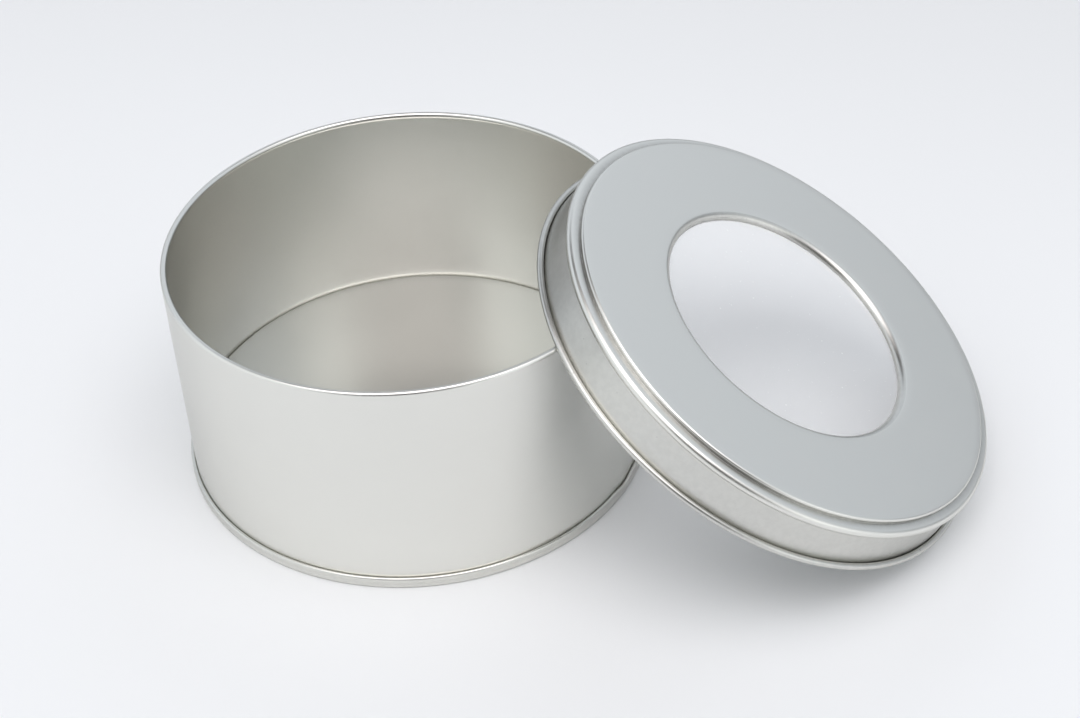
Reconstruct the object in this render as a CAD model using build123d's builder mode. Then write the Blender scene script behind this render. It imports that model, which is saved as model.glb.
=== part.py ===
"""Round seamed candle tin, standing open with its slip-on window lid leaning on the rim.

Millimetres, +Z up. The origin is the centre of the tin's base, on the table. The lid leans along
+X: its low edge stands on the table and its high edge lies across the tin's rim.

Every tinplate piece is one thin sheet, so its profile is a path along the middle of the sheet,
traced to the sheet's thickness and turned about the piece's own axis.
"""

import os
from math import cos, degrees, hypot, radians, sin, tan

from build123d import *

os.makedirs("parts", exist_ok=True)

# --- Driving dimensions ---------------------------------------------------------------------
sheet = 0.25  # tinplate thickness

tin_radius = 55.0  # outside of the wall
tin_height = 56.0
rim_curl = 0.75  # outside radius of the rim's inward curl
floor_height = 5.5  # top of the floor above the table
floor_bend = 0.7  # mid-sheet radius where the floor turns down to the foot
foot_bend = 0.375  # mid-sheet radius of the foot's two corners
seam_height = 2.8  # double seam around the base
seam_play = 0.06  # between neighbouring layers of the double seam
compound_room = 0.15  # between the foot and the wall's hook, for the sealing compound

side_seam_azimuth = -16.0  # degrees from +X, where the wall's two edges are welded
side_seam_width = 2.4
side_seam_relief = 0.1  # how proud the welded lap stands of the wall, inside and outside

lid_fit = 0.3  # radial play between the lid's skirt and the tin
lid_curl = 0.75  # outside radius of the curl along the skirt's edge
lid_curl_ring = 57.2  # radius of the ring that the curl runs on
lid_curl_drop = 12.5  # middle of the curl below the panel's top
skirt_taper = 5.0  # degrees that the skirt spreads on its way down
mouth_angle = 60.0  # degrees from the axis that the skirt then turns outwards into its curl
mouth_bend = 0.5  # mid-sheet radius of that turn
panel_radius = 53.75  # outside of the raised panel
panel_bend = 0.5  # mid-sheet radius of the raised panel's edge
panel_step = 1.2  # ledge around the panel, below the panel's top
ledge_bend = 0.2  # mid-sheet radius where the step meets the ledge
bead_radius = 1.1  # outside radius of the shoulder bead
neck_bend = 0.425  # mid-sheet radius of the hollow under the bead
neck_angle = 70.0  # degrees below level where the bead turns into that hollow
window_radius = 31.0  # clear opening inside the turned-down edge
window_bend = 1.6  # outside radius of the turned-down edge
pane_radius = 55.42
pane_thickness = 0.35
pane_drop = 1.75  # top of the pane below the panel's top
pane_play = 0.02  # between the pane and the turned-down edge that rests on it

lid_tilt = 32.7  # degrees between the lid's axis and +Z as it leans
contact_gap = 0.05  # left where the lid touches the table and the rim

# --- Layers of the double seam, from the wall outwards --------------------------------------
half = sheet / 2
layer = sheet + seam_play
wall_mid = tin_radius - half
chuck_mid = wall_mid - layer
end_hook_mid = wall_mid + layer
body_hook_mid = end_hook_mid + layer
seam_mid = body_hook_mid + layer

hook_turn = layer  # mid-sheet radius of both hooks' U-turns
end_hook_turn = seam_height - half - hook_turn  # height of the end hook's U-turn centre
body_hook_turn = sheet + compound_room + half + hook_turn  # and of the wall hook's
hook_overlap = end_hook_turn - body_hook_turn - sheet - seam_play
end_hook_tip = end_hook_turn - hook_overlap
body_hook_tip = body_hook_turn + hook_overlap

# --- Body wall: rolled and welded, curled in at the rim, hooked out and up in the seam ------
rim_ring = tin_radius - rim_curl
rim_ring_height = tin_height - rim_curl
rim_curl_sweep = 300  # degrees, stopping short of the wall
lap_arc = degrees(side_seam_width / tin_radius)
lap_plane = Plane.XZ.rotated((0, 0, side_seam_azimuth - lap_arc / 2))
lap_bottom = floor_height + 1
lap_top = tin_height - 2 * rim_curl - sheet

with BuildPart() as body_wall:
    with BuildSketch(Plane.XZ):
        with BuildLine():
            CenterArc((rim_ring, rim_ring_height), rim_curl - half, rim_curl_sweep, -rim_curl_sweep)
            Line((wall_mid, rim_ring_height), (wall_mid, body_hook_turn))
            CenterArc((end_hook_mid, body_hook_turn), hook_turn, 180, 180)
            Line((body_hook_mid, body_hook_turn), (body_hook_mid, body_hook_tip))
        trace(line_width=sheet)
    revolve(axis=Axis.Z)
    with BuildSketch(lap_plane):
        with BuildLine():
            Line((wall_mid, lap_bottom), (wall_mid, lap_top))
        trace(line_width=sheet + 2 * side_seam_relief)
    revolve(axis=Axis.Z, revolution_arc=lap_arc)

body_wall.part.label = "body_wall"
export_step(body_wall.part, "parts/body_wall.step")

# --- Base disc: a raised floor whose edge turns down, out and over the wall's hook ----------
with BuildPart() as base_disc:
    with BuildSketch(Plane.XZ):
        with BuildLine():
            FilletPolyline(
                (0, floor_height - half),
                (chuck_mid, floor_height - half),
                (chuck_mid, half),
                (seam_mid, half),
                (seam_mid, end_hook_turn),
                radius=(floor_bend, foot_bend, foot_bend),
            )
            CenterArc((body_hook_mid, end_hook_turn), hook_turn, 0, 180)
            Line((end_hook_mid, end_hook_turn), (end_hook_mid, end_hook_tip))
        trace(line_width=sheet)
    revolve(axis=Axis.Z)

base_disc.part.label = "base_disc"
export_step(base_disc.part, "parts/base_disc.step")

# --- Seam compound: the rubbery ring that keeps melted wax from leaking through the seam ----
compound_inner = chuck_mid + foot_bend
compound_outer = seam_mid - foot_bend
compound_play = 0.02

with BuildPart() as seam_compound:
    with BuildSketch(Plane.XZ):
        with Locations(((compound_inner + compound_outer) / 2, sheet + compound_room / 2)):
            Rectangle(compound_outer - compound_inner, compound_room - 2 * compound_play)
    revolve(axis=Axis.Z)

seam_compound.part.label = "seam_compound"
export_step(seam_compound.part, "parts/seam_compound.step")


# --- Where the lid leans --------------------------------------------------------------------
lean = radians(lid_tilt)
lid_ring_height = lid_curl_ring * sin(lean) + lid_curl + contact_gap


def rim_distance(lid_ring_x, steps=2000):
    """Least distance between the rings that the lid's curl and the rim's curl run on."""
    distances = []
    for step in range(steps + 1):
        around = radians(90 * step / steps)
        x = lid_ring_x - lid_curl_ring * cos(lean) * cos(around)
        y = lid_curl_ring * sin(around)
        z = lid_ring_height + lid_curl_ring * sin(lean) * cos(around)
        distances.append(hypot(hypot(x, y) - rim_ring, z - rim_ring_height))
    return min(distances)


def touching_ring_x(start=2 * tin_radius, tolerance=1e-4):
    """Where along +X the lid's curl ring stands when the lid, slid in, just touches the rim."""
    touch = rim_curl + lid_curl + contact_gap
    ring_x = start
    while (room := rim_distance(ring_x) - touch) > tolerance:
        ring_x -= room
    return ring_x


lid_axis = Vector(sin(lean), 0, cos(lean))
lid_slope = Vector(cos(lean), 0, -sin(lean))
lid_centre = Vector(touching_ring_x(), 0, lid_ring_height) + lid_axis * lid_curl_drop
lid_plane = Plane(origin=lid_centre, x_dir=lid_slope, z_dir=lid_axis)
lid_profile_plane = Plane(origin=lid_centre, x_dir=lid_slope, z_dir=(0, -1, 0))

# --- Lid shell: window edge, raised panel, ledge, shoulder bead, skirt and outward curl -----
window_mid = window_radius + half
panel_mid = panel_radius - half
ledge_drop = panel_step + half
bead_turn = bead_radius - half
bead_drop = ledge_drop + bead_turn
neck = radians(neck_angle)
neck_ring = tin_radius + lid_fit + half + neck_bend
bead_ring = neck_ring - (bead_turn + neck_bend) * cos(neck)
neck_drop = bead_drop + (bead_turn + neck_bend) * sin(neck)

taper = radians(skirt_taper)
skirt_top_radius = neck_ring - neck_bend * cos(taper)
skirt_top_drop = neck_drop + neck_bend * sin(taper)
mouth = radians(mouth_angle)
curl_turn = lid_curl - half
curl_start_radius = lid_curl_ring - curl_turn * cos(mouth)
curl_start_drop = lid_curl_drop + curl_turn * sin(mouth)
lid_curl_sweep = 295  # degrees, stopping short of the skirt

# The skirt's cone and the mouth's steeper cone meet at the corner that mouth_bend rounds.
skirt_spread = curl_start_radius - skirt_top_radius
skirt_height = curl_start_drop - skirt_top_drop
mouth_height = (skirt_spread - skirt_height * tan(taper)) / (tan(mouth) - tan(taper))
corner_radius = curl_start_radius - mouth_height * tan(mouth)
corner_drop = curl_start_drop - mouth_height

with BuildPart() as lid_shell:
    with BuildSketch(lid_profile_plane):
        with BuildLine():
            FilletPolyline(
                (window_mid, pane_play - pane_drop),
                (window_mid, -half),
                (panel_mid, -half),
                (panel_mid, -ledge_drop),
                (bead_ring, -ledge_drop),
                radius=(window_bend - half, panel_bend, ledge_bend),
            )
            CenterArc((bead_ring, -bead_drop), bead_turn, 90, -90 - neck_angle)
            CenterArc(
                (neck_ring, -neck_drop),
                neck_bend,
                180 - neck_angle,
                neck_angle + skirt_taper,
            )
            FilletPolyline(
                (skirt_top_radius, -skirt_top_drop),
                (corner_radius, -corner_drop),
                (curl_start_radius, -curl_start_drop),
                radius=mouth_bend,
            )
            CenterArc(
                (lid_curl_ring, -lid_curl_drop),
                curl_turn,
                180 + mouth_angle,
                lid_curl_sweep,
            )
        trace(line_width=sheet)
    revolve(axis=Axis(lid_centre, lid_axis))

lid_shell.part.label = "lid_shell"
export_step(lid_shell.part, "parts/lid_shell.step")

# --- Window pane: a clear disc snapped inside the shoulder bead -----------------------------
with BuildPart() as window_pane:
    with BuildSketch(lid_plane.offset(-pane_drop)):
        Circle(pane_radius)
    extrude(amount=-pane_thickness)

window_pane.part.label = "window_pane"
export_step(window_pane.part, "parts/window_pane.step")
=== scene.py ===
"""Looks of the seamed candle tin and its leaning window lid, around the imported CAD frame.

Metres, +Z up, in the row frame: the origin is the centre of the tin's base, and the lid leans
along +X. Sheet profiles are written in millimetres, as (radius, height) about each piece's axis.
"""

import math

import bmesh
import bpy
import numpy as np
from mathutils import Matrix, Vector


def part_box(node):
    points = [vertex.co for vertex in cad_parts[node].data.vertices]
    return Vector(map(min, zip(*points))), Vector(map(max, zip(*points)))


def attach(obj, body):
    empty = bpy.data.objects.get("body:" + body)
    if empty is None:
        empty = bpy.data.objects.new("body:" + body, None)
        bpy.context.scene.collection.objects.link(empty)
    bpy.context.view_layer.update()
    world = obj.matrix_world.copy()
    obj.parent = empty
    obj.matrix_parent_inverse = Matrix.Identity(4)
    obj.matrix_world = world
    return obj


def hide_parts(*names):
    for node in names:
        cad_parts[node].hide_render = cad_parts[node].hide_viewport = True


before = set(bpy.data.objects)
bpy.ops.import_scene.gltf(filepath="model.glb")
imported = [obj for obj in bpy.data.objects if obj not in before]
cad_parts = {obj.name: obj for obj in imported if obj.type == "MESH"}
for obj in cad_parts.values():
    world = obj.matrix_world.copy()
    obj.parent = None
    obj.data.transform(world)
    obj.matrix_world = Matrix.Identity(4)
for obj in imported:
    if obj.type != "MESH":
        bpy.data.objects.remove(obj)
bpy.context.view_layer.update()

MM = 0.001

# --- Sizes, read off the frame or shared with the CAD source, in millimetres ------------------
SHEET = 0.25
SEAM_PLAY = 0.06
RIM_CURL = 0.75
RIM_CURL_SWEEP = 300.0
FLOOR_BEND = 0.7
FOOT_BEND = 0.375
COMPOUND_ROOM = 0.15
SEAM_HEIGHT = 2.8

SEAM_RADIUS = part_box("base_disc")[1].x / MM
FLOOR_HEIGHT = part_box("base_disc")[1].z / MM
TIN_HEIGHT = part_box("body_wall")[1].z / MM
LID_CURL_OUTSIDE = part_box("lid_shell")[1].y / MM

HALF = SHEET / 2
LAYER = SHEET + SEAM_PLAY
SEAM_MID = SEAM_RADIUS - HALF
BODY_HOOK_MID = SEAM_MID - LAYER
END_HOOK_MID = BODY_HOOK_MID - LAYER
WALL_MID = END_HOOK_MID - LAYER
CHUCK_MID = WALL_MID - LAYER
TIN_RADIUS = WALL_MID + HALF

# Both hooks of the double seam turn at the same radius, one upwards and one downwards.
HOOK_TURN = LAYER
BODY_HOOK_TURN = SHEET + COMPOUND_ROOM + HALF + HOOK_TURN
END_HOOK_TURN = SEAM_HEIGHT - HALF - HOOK_TURN
HOOK_OVERLAP = END_HOOK_TURN - BODY_HOOK_TURN - SHEET - SEAM_PLAY

LID_FIT = 0.3
LID_CURL = 0.75
LID_CURL_DROP = 12.5
LID_CURL_SWEEP = 295.0
SKIRT_TAPER = 5.0
MOUTH_ANGLE = 60.0
MOUTH_BEND = 0.5
PANEL_RADIUS = 53.75
PANEL_BEND = 0.5
PANEL_STEP = 1.2
LEDGE_BEND = 0.2
BEAD_RADIUS = 1.1
NECK_BEND = 0.425
NECK_ANGLE = 70.0
WINDOW_RADIUS = 31.0
WINDOW_BEND = 1.6
PANE_DROP = 1.75
PANE_THICKNESS = 0.35
PANE_PLAY = 0.02

SIDE_SEAM_AZIMUTH = -16.0
SIDE_SEAM_WIDTH = 2.4
SIDE_SEAM_RELIEF = 0.1

# --- Sizes that only the looks have, in millimetres -------------------------------------------
LAP_EDGE = 0.25  # share of the lap's half width over which it rises
LAP_FADE = 0.5  # height over which the lap fades out at the rim and above the floor

# Where the wall's lap runs into it, the double seam is a little fuller and droops.
DROOP_WIDTH = 9.0
DROOP_FROM = 1.2
DROOP_FULLNESS = 0.08
DROOP_DEPTH = 0.5

# The seaming roller leaves a shallow line around the seam.
SEAM_LINE_HEIGHT = 1.35
SEAM_LINE_WIDTH = 0.7
SEAM_LINE_DEPTH = 0.1
SEAM_FACE_STEPS = 12  # along the seam's face, so that it can carry the line

# Drawing dulls the metal of the lid's skirt. Painted shade darkens the lid's window edge the same
# way, and more so in the inside corner of its ledge; the tin's seam is drawn darker, less so.
LID_DRAWN_BELOW = -3.2
WINDOW_SHADE_SHARE = 0.8  # of the window edge's bend
CORNER_PAINTED_SHADE = 1.7
SEAM_DULLING = 0.5

# --- How finely the pieces are meshed ---------------------------------------------------------
ROUND_STEPS = 256  # straight steps around every turned piece
LAP_STEPS = 32  # extra ones across the wall's lap and beside it
LAP_REACH = 3  # half widths of the lap, to either side, that they cover
ARC_STEP = 9.0  # degrees between samples along a profile's arcs
LONGEST = 2.0  # along a profile's straight stretches
CLOSEST = 1e-4  # points nearer than this are one point
SHARP_ANGLE = 50.0  # degrees between faces above which the edge isn't shaded smooth


# --- Sheet profiles ---------------------------------------------------------------------------
def arc(centre, radius, start, sweep):
    """Points along an arc of a profile, from start degrees, turning anticlockwise for sweep > 0."""
    count = max(2, round(abs(sweep) / ARC_STEP))
    turns = [math.radians(start + sweep * i / count) for i in range(count + 1)]
    return [(centre[0] + radius * math.cos(t), centre[1] + radius * math.sin(t)) for t in turns]


def rounded(points, radii):
    """A polyline whose inner corners are rounded, one radius for each of them."""
    path = [points[0]]
    for before, corner, after, radius in zip(points, points[1:], points[2:], radii):
        corner = Vector(corner)
        back = (Vector(before) - corner).normalized()
        ahead = (Vector(after) - corner).normalized()
        half_angle = back.angle(ahead) / 2
        middle = corner + (back + ahead).normalized() * radius / math.sin(half_angle)
        first = corner + back * radius / math.tan(half_angle)
        last = corner + ahead * radius / math.tan(half_angle)
        start = math.degrees(math.atan2(*reversed(first - middle)))
        end = math.degrees(math.atan2(*reversed(last - middle)))
        sweep = (end - start + 180) % 360 - 180
        path += arc(middle, radius, start, sweep)
    return path + [points[-1]]


def split_long(path):
    """The same path with its long straight stretches cut up, so that they can be bent a little."""
    cut = [path[0]]
    for a, b in zip(path, path[1:]):
        count = max(1, math.ceil(math.dist(a, b) / LONGEST))
        cut += [(a[0] + (b[0] - a[0]) * i / count, a[1] + (b[1] - a[1]) * i / count)
                for i in range(1, count + 1)]
    return cut


def without_repeats(path):
    """The path without points that repeat."""
    kept = [path[0]]
    for point in path[1:]:
        if math.dist(kept[-1], point) > CLOSEST:
            kept.append(point)
    return kept


def sheet_outline(path):
    """Both faces of a sheet whose middle follows path, as two lists of points."""
    path = np.array(without_repeats(split_long(path)))
    steps = np.diff(path, axis=0)
    steps /= np.linalg.norm(steps, axis=1)[:, None]
    along = np.vstack([steps[:1], steps[:-1] + steps[1:], steps[-1:]])
    along /= np.linalg.norm(along, axis=1)[:, None]
    normal = np.column_stack([along[:, 1], -along[:, 0]])
    return path + normal * HALF, path - normal * HALF


def wall_path():
    """From the rim's curl down the wall and into its hook in the double seam."""
    rim = (TIN_RADIUS - RIM_CURL, TIN_HEIGHT - RIM_CURL)
    return (
        arc(rim, RIM_CURL - HALF, RIM_CURL_SWEEP, -RIM_CURL_SWEEP)
        + arc((END_HOOK_MID, BODY_HOOK_TURN), HOOK_TURN, 180, 180)
        + [(BODY_HOOK_MID, BODY_HOOK_TURN + HOOK_OVERLAP)]
    )


def base_path():
    """From the middle of the floor to the foot, up the seam's face and over the wall's hook."""
    floor_mid = FLOOR_HEIGHT - HALF
    seam_foot = HALF + FOOT_BEND
    corners = [
        (0, floor_mid),
        (CHUCK_MID, floor_mid),
        (CHUCK_MID, HALF),
        (SEAM_MID, HALF),
        (SEAM_MID, seam_foot),
    ]
    seam_heights = np.linspace(seam_foot, END_HOOK_TURN, SEAM_FACE_STEPS + 1)
    return (
        rounded(corners, (FLOOR_BEND, FOOT_BEND, FOOT_BEND))
        + [(SEAM_MID, height) for height in seam_heights]
        + arc((BODY_HOOK_MID, END_HOOK_TURN), HOOK_TURN, 0, 180)
        + [(END_HOOK_MID, END_HOOK_TURN - HOOK_OVERLAP)]
    )


def lid_path():
    """From the window's edge over panel, ledge, bead and skirt to the curl at its mouth."""
    window_mid = WINDOW_RADIUS + HALF
    panel_mid = PANEL_RADIUS - HALF
    ledge_drop = PANEL_STEP + HALF
    bead_turn = BEAD_RADIUS - HALF
    bead_drop = ledge_drop + bead_turn
    neck = math.radians(NECK_ANGLE)
    neck_ring = TIN_RADIUS + LID_FIT + HALF + NECK_BEND
    bead_ring = neck_ring - (bead_turn + NECK_BEND) * math.cos(neck)
    neck_drop = bead_drop + (bead_turn + NECK_BEND) * math.sin(neck)
    taper = math.radians(SKIRT_TAPER)
    mouth = math.radians(MOUTH_ANGLE)
    curl_turn = LID_CURL - HALF
    curl_ring = LID_CURL_OUTSIDE - LID_CURL
    skirt_top = (
        neck_ring - NECK_BEND * math.cos(taper),
        -neck_drop - NECK_BEND * math.sin(taper),
    )
    curl_start = (
        curl_ring - curl_turn * math.cos(mouth),
        -LID_CURL_DROP - curl_turn * math.sin(mouth),
    )
    spread = curl_start[0] - skirt_top[0]
    height = skirt_top[1] - curl_start[1]
    mouth_height = (spread - height * math.tan(taper)) / (math.tan(mouth) - math.tan(taper))
    corner = (curl_start[0] - mouth_height * math.tan(mouth), curl_start[1] + mouth_height)
    top = [
        (window_mid, PANE_PLAY - PANE_DROP),
        (window_mid, -HALF),
        (panel_mid, -HALF),
        (panel_mid, -ledge_drop),
        (bead_ring, -ledge_drop),
    ]
    return (
        rounded(top, (WINDOW_BEND - HALF, PANEL_BEND, LEDGE_BEND))
        + arc((bead_ring, -bead_drop), bead_turn, 90, -90 - NECK_ANGLE)
        + arc((neck_ring, -neck_drop), NECK_BEND, 180 - NECK_ANGLE, NECK_ANGLE + SKIRT_TAPER)
        + rounded([skirt_top, corner, curl_start], (MOUTH_BEND,))
        + arc((curl_ring, -LID_CURL_DROP), curl_turn, 180 + MOUTH_ANGLE, LID_CURL_SWEEP)
    )


# --- Turned meshes ----------------------------------------------------------------------------
def round_angles(fine_at=None, fine_width=0.0):
    """Angles around a turned piece, with extra ones through the stretch that needs detail."""
    angles = set(np.linspace(0, 2 * math.pi, ROUND_STEPS, endpoint=False))
    if fine_at is not None:
        extra = np.linspace(-fine_width, fine_width, LAP_STEPS + 1)
        angles |= set((fine_at + extra) % (2 * math.pi))
    return np.array(sorted(angles))


def turned(name, outlines, place, angles, shape=None, dulling_and_shade=None):
    """A closed sheet turned about an axis: outlines are its two faces, place puts it in the row.

    shape, if given, takes arrays of radius, height and angle and returns them bent or dented.
    The last argument, if given, tells from radius and height how much darker the metal is drawn
    there, for dull worked metal and for painted shade alike: 0 is none, and 1 is as dark as a drawn
    skirt.
    """
    ring = np.vstack([outlines[0], outlines[1][::-1]])
    on_axis = ring[:, 0] < CLOSEST
    radius = np.repeat(ring[:, 0][:, None], len(angles), axis=1)
    height = np.repeat(ring[:, 1][:, None], len(angles), axis=1)
    angle = np.repeat(angles[None, :], len(ring), axis=0)
    if shape:
        radius, height = shape(radius, height, angle)
    bm = bmesh.new()
    worked = bm.verts.layers.float.new("worked")
    rows = []
    for i in range(len(ring)):
        if on_axis[i]:
            middle = bm.verts.new(place @ Vector((0, 0, height[i, 0] * MM)))
            rows.append([middle] * len(angles))
            continue
        rows.append([
            bm.verts.new(place @ Vector((r * math.cos(a) * MM, r * math.sin(a) * MM, h * MM)))
            for r, a, h in zip(radius[i], angles, height[i])
        ])
        if dulling_and_shade:
            for vertex in rows[-1]:
                vertex[worked] = dulling_and_shade(*ring[i])
    closes = not on_axis.any()
    last = len(rows) if closes else len(rows) - 1
    for i in range(last):
        lower, upper = rows[i], rows[(i + 1) % len(rows)]
        for j in range(len(angles)):
            k = (j + 1) % len(angles)
            corners = [lower[j], lower[k], upper[k], upper[j]]
            corners = [v for n, v in enumerate(corners) if v not in corners[:n]]
            if len(corners) > 2:
                bm.faces.new(corners)
    bmesh.ops.recalc_face_normals(bm, faces=bm.faces)
    for face in bm.faces:
        face.smooth = True
    for edge in bm.edges:
        if edge.is_manifold and edge.calc_face_angle(0) > math.radians(SHARP_ANGLE):
            edge.smooth = False
    mesh = bpy.data.meshes.new(name)
    bm.to_mesh(mesh)
    bm.free()
    piece = bpy.data.objects.new(name, mesh)
    bpy.context.scene.collection.objects.link(piece)
    return piece


def bump(distance, width):
    """A smooth rise from 0 to 1 and back, width across."""
    return np.clip(1 - (distance / (width / 2)) ** 2, 0, 1) ** 2


def angle_off(angle, middle):
    """How far each angle is from the middle one, either way round."""
    return np.abs((angle - middle + math.pi) % (2 * math.pi) - math.pi)


# --- Places from the frame --------------------------------------------------------------------
def lid_place():
    """The lid's own frame, from the pane's CAD disc: origin on the panel's top, Z along its axis."""
    co = np.array([v.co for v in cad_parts["window_pane"].data.vertices], float)
    axis = Vector(np.linalg.svd(co - co.mean(axis=0), full_matrices=False)[2][2])
    if axis.z < 0:
        axis.negate()
    side = Vector((0, 1, 0))
    slope = side.cross(axis).normalized()
    turn = Matrix((slope, side, axis)).transposed()
    along = co @ np.array(turn)
    middle = turn @ Vector((along.min(axis=0) + along.max(axis=0)) / 2)
    top = middle + axis * (PANE_DROP + PANE_THICKNESS / 2) * MM
    return Matrix.Translation(top) @ turn.to_4x4()


# --- Shader helpers ---------------------------------------------------------------------------
class Nodes:
    """A short way to write node trees."""

    def __init__(self, tree):
        self.tree = tree
        self.tree.nodes.clear()

    def add(self, kind, inputs=None, **settings):
        """A new node; inputs maps input names or numbers to values or to (node, output)."""
        made = self.tree.nodes.new(kind)
        for key, value in settings.items():
            setattr(made, key, value)
        for key, value in (inputs or {}).items():
            if isinstance(value, tuple) and isinstance(value[0], bpy.types.Node):
                self.tree.links.new(value[0].outputs[value[1]], made.inputs[key])
            else:
                made.inputs[key].default_value = value
        return made

    def math(self, operation, a, b=0.0, c=0.0):
        made = self.add("ShaderNodeMath", {0: a, 1: b, 2: c}, operation=operation)
        return made, 0

    def spread(self, value, span, results, kind="SMOOTHSTEP"):
        """Runs from the first result to the second as value runs through the span."""
        made = self.add(
            "ShaderNodeMapRange",
            {
                "Value": value,
                "From Min": span[0],
                "From Max": span[1],
                "To Min": results[0],
                "To Max": results[1],
            },
            interpolation_type=kind,
        )
        return made, 0

    def scaled(self, colour, factor):
        made = self.add("ShaderNodeVectorMath", {0: colour, "Scale": factor}, operation="SCALE")
        return made, 0

    def relief(self, height, strength, depth):
        """A bumped normal whose relief is up to depth millimetres high."""
        made = self.add(
            "ShaderNodeBump",
            {"Strength": strength, "Distance": depth * MM, "Height": height},
        )
        return made, 0


def new_material(name):
    material = bpy.data.materials.new(name)
    material.use_nodes = True
    return material, Nodes(material.node_tree)


# --- Materials --------------------------------------------------------------------------------
# Noise scales are in cycles per metre. A SPAN holds the noise levels between which a change runs.
TIN_COLOUR = (0.80, 0.797, 0.757)
EDGE_TINT = (0.8, 0.8, 0.8, 1)
TIN_ROUGHNESS = (0.29, 0.35)
GRAIN_STRETCH = (120, 9000, 9000)  # long along the rolling direction and fine across it
GRAIN_DEPTH = 0.02
CLOUD_SPAN = (0.3, 0.7)
CLOUD_TINT = (0.985, 1.0)
MARK_SPAN = (0.64, 0.78)
MARK_ROUGHNESS = 0.03
MARK_TINT = -0.015
MOTTLE_SPAN = (0.3, 0.7)
MOTTLE_DARKENING = (0.165, 0.215)
PIT_SIZE = (0.05, 0.12)
PIT_DULLING = 0.3
PIT_CLOUD_SPAN = (0.5, 0.65)


def tinplate(name, grain_along, seed):
    """Satin tinplate: rolling grain as fine streaks, cloudy tin and handling marks.

    grain_along is "around" for sheet rolled into a wall, or "straight" for a stamped piece.
    Where the mesh's attribute asks for it, the metal is darker, mottled and has a few small pits; on
    the lid's window edge and ledge corner that darkening is painted shade.
    """
    material, n = new_material(name)
    place = n.add("ShaderNodeTexCoord")
    if grain_along == "around":
        split = n.add("ShaderNodeSeparateXYZ", {0: (place, "Object")})
        turn = n.math("ARCTAN2", (split, "Y"), (split, "X"))
        around = n.math("MULTIPLY", turn, TIN_RADIUS * MM)
        sheet = n.add("ShaderNodeCombineXYZ", {"X": around, "Y": (split, "Z"), "Z": seed})
    else:
        sheet = n.add("ShaderNodeVectorMath", {0: (place, "Object"), 1: (seed, seed, seed)})
    sheet = (sheet, 0)
    stretched = n.add("ShaderNodeMapping", {"Vector": sheet, "Scale": GRAIN_STRETCH})
    grain = n.add(
        "ShaderNodeTexNoise",
        {"Vector": (stretched, 0), "Scale": 1.0, "Detail": 3.0, "Roughness": 0.6},
    )
    clouds = n.add("ShaderNodeTexNoise", {"Vector": sheet, "Scale": 90.0, "Detail": 4.0})
    marks = n.add(
        "ShaderNodeTexNoise",
        {"Vector": sheet, "Scale": 420.0, "Detail": 6.0, "Roughness": 0.7, "Distortion": 1.2},
    )
    marks = n.spread((marks, "Fac"), MARK_SPAN, (0.0, 1.0))
    rough = n.spread((clouds, "Fac"), CLOUD_SPAN, TIN_ROUGHNESS, "LINEAR")
    rough = n.math("MULTIPLY_ADD", marks, MARK_ROUGHNESS, rough)
    tint = n.spread((clouds, "Fac"), CLOUD_SPAN, CLOUD_TINT, "LINEAR")
    tint = n.math("MULTIPLY_ADD", marks, MARK_TINT, tint)
    mottle = n.add(
        "ShaderNodeTexNoise",
        {"Vector": sheet, "Scale": 700.0, "Detail": 5.0, "Roughness": 0.6},
    )
    mottle = n.spread((mottle, "Fac"), MOTTLE_SPAN, MOTTLE_DARKENING)
    pits = n.add("ShaderNodeTexVoronoi", {"Vector": sheet, "Scale": 420.0})
    pits = n.spread((pits, "Distance"), PIT_SIZE, (PIT_DULLING, 0.0))
    few = n.spread((clouds, "Fac"), PIT_CLOUD_SPAN, (0.0, 1.0))
    darkening = n.math("MULTIPLY_ADD", pits, few, mottle)
    # The attribute scales the darkening: dull worked metal, and painted shade at the lid's window
    # edge and ledge corner.
    worked = n.add("ShaderNodeAttribute", attribute_name="worked")
    darkening = n.math("MULTIPLY", darkening, (worked, "Fac"))
    tint = n.math("SUBTRACT", tint, darkening)
    shader = n.add(
        "ShaderNodeBsdfPrincipled",
        {
            "Base Color": n.scaled(TIN_COLOUR, tint),
            "Metallic": 1.0,
            "Roughness": rough,
            "Specular Tint": EDGE_TINT,
            "Normal": n.relief((grain, "Fac"), 0.12, GRAIN_DEPTH),
        },
    )
    n.add("ShaderNodeOutputMaterial", {"Surface": (shader, 0)})
    return material


FILM_CLEARNESS = (0.985, 0.988, 0.99, 1)
FILM_INDEX = 1.57
BOTH_FACES = 1.85  # both faces together mirror this many times what one does
WAVE_DEPTH = 0.05
HAZE = 0.34
HAZE_COLOUR = (0.9, 0.9, 0.9, 1)
DUST_SPAN = (0.70, 0.76)
DUST_COVER = 0.12


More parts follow.
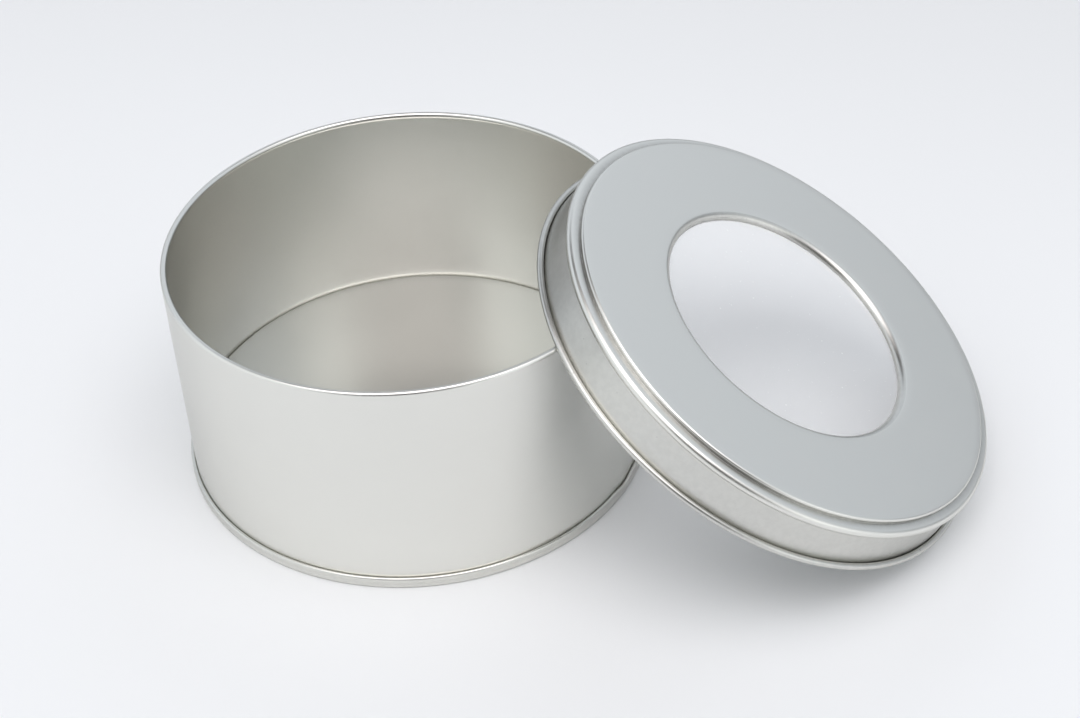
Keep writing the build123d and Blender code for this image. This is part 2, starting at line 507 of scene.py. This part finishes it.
def clear_film(name):
    """Clear plastic sheet: see-through, with the mirror of its two faces, faint haze and dust."""
    material, n = new_material(name)
    place = n.add("ShaderNodeTexCoord")
    dust = n.add("ShaderNodeTexNoise", {"Vector": (place, "Object"), "Scale": 1500.0, "Detail": 3.0})
    dust = n.spread((dust, "Fac"), DUST_SPAN, (0.0, DUST_COVER))
    ripple = n.add("ShaderNodeTexNoise", {"Vector": (place, "Object"), "Scale": 35.0})
    waves = n.relief((ripple, "Fac"), 0.2, WAVE_DEPTH)
    through = n.add("ShaderNodeBsdfTransparent", {"Color": FILM_CLEARNESS})
    mirror = n.add("ShaderNodeBsdfGlossy", {"Roughness": 0.03, "Normal": waves})
    faces = n.add("ShaderNodeNewGeometry")
    front = n.math("SUBTRACT", 1.0, (faces, "Backfacing"))
    share = n.add("ShaderNodeFresnel", {"IOR": FILM_INDEX, "Normal": waves})
    share = n.math("MULTIPLY", (share, 0), front)
    share = n.math("MULTIPLY", share, BOTH_FACES)
    film = n.add("ShaderNodeMixShader", {0: share, 1: (through, 0), 2: (mirror, 0)})
    veil = n.math("ADD", dust, HAZE)
    veil = n.math("MULTIPLY", veil, front)
    haze = n.add("ShaderNodeBsdfDiffuse", {"Color": HAZE_COLOUR})
    hazy = n.add("ShaderNodeMixShader", {0: veil, 1: (film, 0), 2: (haze, 0)})
    # Light that the haze scatters still gets through, so the pane itself casts no shade.
    ray = n.add("ShaderNodeLightPath")
    pane = n.add("ShaderNodeMixShader", {0: (ray, "Is Shadow Ray"), 1: (hazy, 0), 2: (through, 0)})
    n.add("ShaderNodeOutputMaterial", {"Surface": (pane, 0)})
    return material


COMPOUND_COLOUR = (0.42, 0.39, 0.33)
LUMP_SPAN = (0.3, 0.7)
LUMP_SHADE = (0.85, 1.0)
LUMP_DEPTH = 0.03


def compound(name):
    """Water-based sealing compound: matte, slightly lumpy, putty grey."""
    material, n = new_material(name)
    place = n.add("ShaderNodeTexCoord")
    lumps = n.add("ShaderNodeTexNoise", {"Vector": (place, "Object"), "Scale": 2500.0})
    shade = n.spread((lumps, "Fac"), LUMP_SPAN, LUMP_SHADE, "LINEAR")
    shader = n.add(
        "ShaderNodeBsdfPrincipled",
        {
            "Base Color": n.scaled(COMPOUND_COLOUR, shade),
            "Roughness": 0.75,
            "Normal": n.relief((lumps, "Fac"), 0.5, LUMP_DEPTH),
        },
    )
    n.add("ShaderNodeOutputMaterial", {"Surface": (shader, 0)})
    return material


# --- Pieces -----------------------------------------------------------------------------------
side_seam = math.radians(SIDE_SEAM_AZIMUTH) % (2 * math.pi)
lap_half = SIDE_SEAM_WIDTH / TIN_RADIUS / 2


def wall_shape(radius, height, angle):
    """The welded lap stands proud of the wall, inside and outside, between the seam and the rim."""
    off = angle_off(angle, side_seam)
    across = np.clip((lap_half - off) / (lap_half * LAP_EDGE), 0, 1)
    plain = (np.abs(radius - WALL_MID) < SHEET) & (height > SEAM_HEIGHT)
    below_rim = np.clip((TIN_HEIGHT - 2 * RIM_CURL - height) / LAP_FADE, 0, 1)
    above_floor = np.clip((height - FLOOR_HEIGHT - LAP_FADE) / LAP_FADE, 0, 1)
    outside = radius > WALL_MID
    rise = SIDE_SEAM_RELIEF * across * below_rim * plain
    return radius + np.where(outside, rise, -rise * above_floor), height


def base_shape(radius, height, angle):
    """The double seam droops where the wall's lap runs into it, and has its roller line."""
    near = bump(angle_off(angle, side_seam) * TIN_RADIUS, DROOP_WIDTH)
    droop = near * (radius > END_HOOK_MID - SHEET) * (height > DROOP_FROM)
    line = bump(height - SEAM_LINE_HEIGHT, SEAM_LINE_WIDTH) * (radius > SEAM_MID)
    radius = radius + DROOP_FULLNESS * droop - SEAM_LINE_DEPTH * line
    return radius, height - DROOP_DEPTH * droop


def seam_dulling(radius, height):
    """How much darker the base's metal is drawn: only outside, over the seam."""
    return SEAM_DULLING if radius > BODY_HOOK_MID else 0.0


def lid_dulling_and_shade(radius, height):
    """How much darker the lid's metal is drawn: dull skirt, painted shade at window edge and ledge.
    """
    # Dull drawn metal on the skirt, and painted shade on the window's turned-down edge.
    if height < LID_DRAWN_BELOW or radius < WINDOW_RADIUS + WINDOW_BEND * WINDOW_SHADE_SHARE:
        return 1.0
    # Painted shade, deeper still, in the inside corner of the ledge.
    in_corner = abs(radius - PANEL_RADIUS) < 2 * SHEET and height < -PANEL_STEP / 2
    return CORNER_PAINTED_SHADE if in_corner else 0.0


def dress(piece, body, node, material):
    """Gives a piece its material, and puts it in its CAD node's place on a body."""
    piece.data.materials.append(material)
    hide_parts(node)
    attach(piece, body)


upright = Matrix.Identity(4)
leaning = lid_place()
seam_angles = round_angles(side_seam, LAP_REACH * lap_half)

wall = turned("tin_wall", sheet_outline(wall_path()), upright, seam_angles, wall_shape)
base = turned(
    "tin_base", sheet_outline(base_path()), upright, seam_angles, base_shape, seam_dulling
)
lid = turned("lid_sheet", sheet_outline(lid_path()), leaning, round_angles(), dulling_and_shade=lid_dulling_and_shade)

dress(wall, "tin", "body_wall", tinplate("tinplate_wall", "around", 0.13))
dress(base, "tin", "base_disc", tinplate("tinplate_base", "straight", 0.41))
dress(lid, "lid", "lid_shell", tinplate("tinplate_lid", "straight", 0.77))


def cad_look(node, material):
    """Gives a CAD node that stays in view its finished material."""
    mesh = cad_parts[node].data
    mesh.materials.clear()
    mesh.materials.append(material)


cad_look("window_pane", clear_film("clear_film"))
cad_look("seam_compound", compound("sealing_compound"))

# --- Stage: floor, light and camera -----------------------------------------------------------
FLOOR_SIZE = 8.0
FLOOR_COLOUR = (0.857, 0.868, 0.87)
FIBRE_DEPTH = 0.05
PAINTED_FLOOR_SHADE_TO = 0.3  # how far behind the tin the painted shade on the paper reaches its full depth
PAINTED_FLOOR_SHADE = 0.15  # share of the paper's brightness that the painted shade then takes away


def make_floor():
    bpy.ops.mesh.primitive_plane_add(size=FLOOR_SIZE, location=(0, 0, 0))
    floor = bpy.context.object
    floor.name = "floor"
    material, n = new_material("pale_paper")
    place = n.add("ShaderNodeTexCoord")
    fibres = n.add("ShaderNodeTexNoise", {"Vector": (place, "Object"), "Scale": 900.0})
    split = n.add("ShaderNodeSeparateXYZ", {0: (place, "Object")})
    # Painted shade: the paper's colour darkens towards the back, standing in for the light falling
    # off there.
    shade = n.spread((split, "Y"), (0.0, PAINTED_FLOOR_SHADE_TO), (1.0, 1.0 - PAINTED_FLOOR_SHADE))
    shader = n.add(
        "ShaderNodeBsdfPrincipled",
        {
            "Base Color": n.scaled(FLOOR_COLOUR, shade),
            "Roughness": 0.6,
            "Normal": n.relief((fibres, "Fac"), 0.05, FIBRE_DEPTH),
        },
    )
    n.add("ShaderNodeOutputMaterial", {"Surface": (shader, 0)})
    floor.data.materials.append(material)


# The studio is a white tent that is open behind the camera, lit by one soft box above the
# opening, with a white card low on the right. Directions are (degrees round from +X, degrees up);
# each glow or gap is round, with full effect inside the first spread and none outside the second,
# in degrees.
TENT_BACK = (0.80, 0.85, 0.92)
TENT_FRONT = (0.95, 0.98, 1.00)
RIGHT_DIM = 0.20  # share of the light that the tent lacks at the far right
GAPS = (
    ((285.0, 26.6), (24.0, 40.0)),  # the opening
    ((125.0, 73.0), (24.5, 27.0)),  # a vent in the ceiling
)
GLOWS = (
    ((286.0, 72.0), (21.5, 39.0), (1.91, 1.83, 1.86)),  # the soft box
    ((330.0, 4.0), (7.0, 34.0), (0.59, 0.59, 0.59)),  # the card
)
# Between the end of the paper and the tent's back wall, a dark strip shows, which fades out
# between these degrees up.
STRIP_TOP = (4.0, 14.0)
STRIP_DEPTH = 0.85  # share of the light that it lacks

# Parts of the way from front to back, or from left to right, over which the light changes.
FRONT_TO_BACK = (-0.5, 0.5)
MIDDLE_TO_RIGHT = (0.0, 1.0)
MIDDLE_TO_STRIP = (0.0, 0.4)


def round_patch(n, facing, towards, spread):
    """A soft round patch of the surroundings: 1 at its middle, 0 outside."""
    around, up = (math.radians(angle) for angle in towards)
    middle = Vector((
        math.cos(around) * math.cos(up),
        math.sin(around) * math.cos(up),
        math.sin(up),
    ))
    near = n.add("ShaderNodeVectorMath", {0: facing, 1: middle}, operation="DOT_PRODUCT")
    inner, outer = (math.cos(math.radians(angle)) for angle in spread)
    return n.spread((near, "Value"), (outer, inner), (0.0, 1.0))


def make_world():
    world = bpy.data.worlds.new("studio")
    bpy.context.scene.world = world
    world.use_nodes = True
    n = Nodes(world.node_tree)
    place = n.add("ShaderNodeTexCoord")
    facing = (place, "Generated")
    split = n.add("ShaderNodeSeparateXYZ", {0: facing})
    backness = n.spread((split, "Y"), FRONT_TO_BACK, (0.0, 1.0))
    tent = n.add(
        "ShaderNodeMix",
        {0: backness, "A": TENT_FRONT, "B": TENT_BACK},
        data_type="VECTOR",
    )
    rightness = n.spread((split, "X"), MIDDLE_TO_RIGHT, (0.0, RIGHT_DIM))
    kept = n.math("SUBTRACT", 1.0, rightness)
    for towards, spread in GAPS:
        gap = round_patch(n, facing, towards, spread)
        kept = n.math("MULTIPLY", kept, n.math("SUBTRACT", 1.0, gap))
    strip_top = [math.sin(math.radians(up)) for up in STRIP_TOP]
    strip = n.spread((split, "Z"), strip_top, (STRIP_DEPTH, 0.0))
    strip = n.math("MULTIPLY", strip, n.spread((split, "Y"), MIDDLE_TO_STRIP, (0.0, 1.0)))
    kept = n.math("MULTIPLY", kept, n.math("SUBTRACT", 1.0, strip))
    light = n.scaled((tent, "Result"), kept)
    for towards, spread, colour in GLOWS:
        glow = n.scaled(colour, round_patch(n, facing, towards, spread))
        light = (n.add("ShaderNodeVectorMath", {0: light, 1: glow}, operation="ADD"), 0)
    shader = n.add("ShaderNodeBackground", {"Color": light, "Strength": 1.0})
    n.add("ShaderNodeOutputWorld", {"Surface": (shader, 0)})


CAMERA_AZIMUTH = 18.0  # degrees round from -Y towards +X
CAMERA_ELEVATION = 40.48
CAMERA_DISTANCE = 0.5027
CAMERA_AIM = Vector((0.0311, -0.0006, 0.025))
CAMERA_ROLL = -3.31
SENSOR_WIDTH = 36.0
LENS = 68.07
NEAREST_SEEN = 0.01


def make_camera():
    azimuth = math.radians(CAMERA_AZIMUTH)
    elevation = math.radians(CAMERA_ELEVATION)
    spot = CAMERA_DISTANCE * Vector((
        math.sin(azimuth) * math.cos(elevation),
        -math.cos(azimuth) * math.cos(elevation),
        math.sin(elevation),
    ))
    data = bpy.data.cameras.new("camera")
    data.lens = LENS
    data.sensor_width = SENSOR_WIDTH
    data.clip_start = NEAREST_SEEN
    camera = bpy.data.objects.new("camera", data)
    bpy.context.scene.collection.objects.link(camera)
    look = (CAMERA_AIM - spot).to_track_quat("-Z", "Y").to_matrix().to_4x4()
    roll = Matrix.Rotation(math.radians(CAMERA_ROLL), 4, "Z")
    camera.matrix_world = Matrix.Translation(spot) @ look @ roll
    bpy.context.scene.camera = camera


make_floor()
make_world()
make_camera()
bpy.context.scene.view_settings.view_transform = "Standard"
